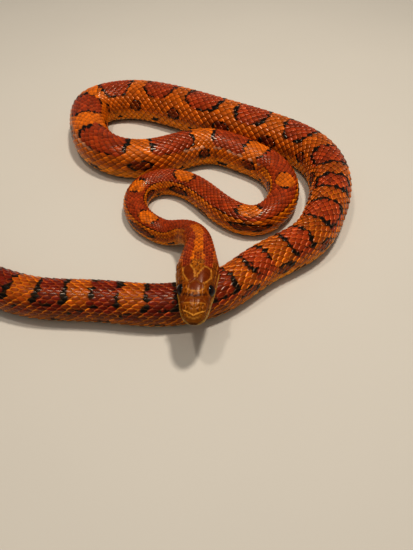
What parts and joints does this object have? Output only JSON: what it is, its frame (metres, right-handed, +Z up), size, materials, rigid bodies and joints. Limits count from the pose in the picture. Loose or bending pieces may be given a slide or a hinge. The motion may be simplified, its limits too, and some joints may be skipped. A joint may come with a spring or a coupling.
{
  "type": "corn snake",
  "caption": "Still, life-size corn snake lying in loose coils on the floor, its head resting over its own body.",
  "frame": {"origin": "on the floor under the middle of the whole snake", "axes": "+Z up from the floor, +X to the right of the picture, from the tail's side to the coils' far side, and the head looks along -Y"},
  "size_m": [0.3101, 0.1996, 0.029],
  "materials": {
    "body_scales": "satin scales, brick-red saddles edged in black on orange",
    "head_scales": "smooth satin head shields, orange and red-brown",
    "eye": "glossy, near black"
  },
  "bodies": {
    "root": {"head": "head_scales", "lower_jaw": "head_scales", "eye_left": "eye", "eye_right": "eye", "neck": "body_scales", "forebody_1": "body_scales", "forebody_2": "body_scales", "midbody_1": "body_scales", "midbody_2": "body_scales", "midbody_3": "body_scales", "hindbody_1": "body_scales", "hindbody_2": "body_scales", "hindbody_3": "body_scales", "hindbody_4": "body_scales", "tail_1": "body_scales", "tail_2": "body_scales"}
  },
  "joints": []
}
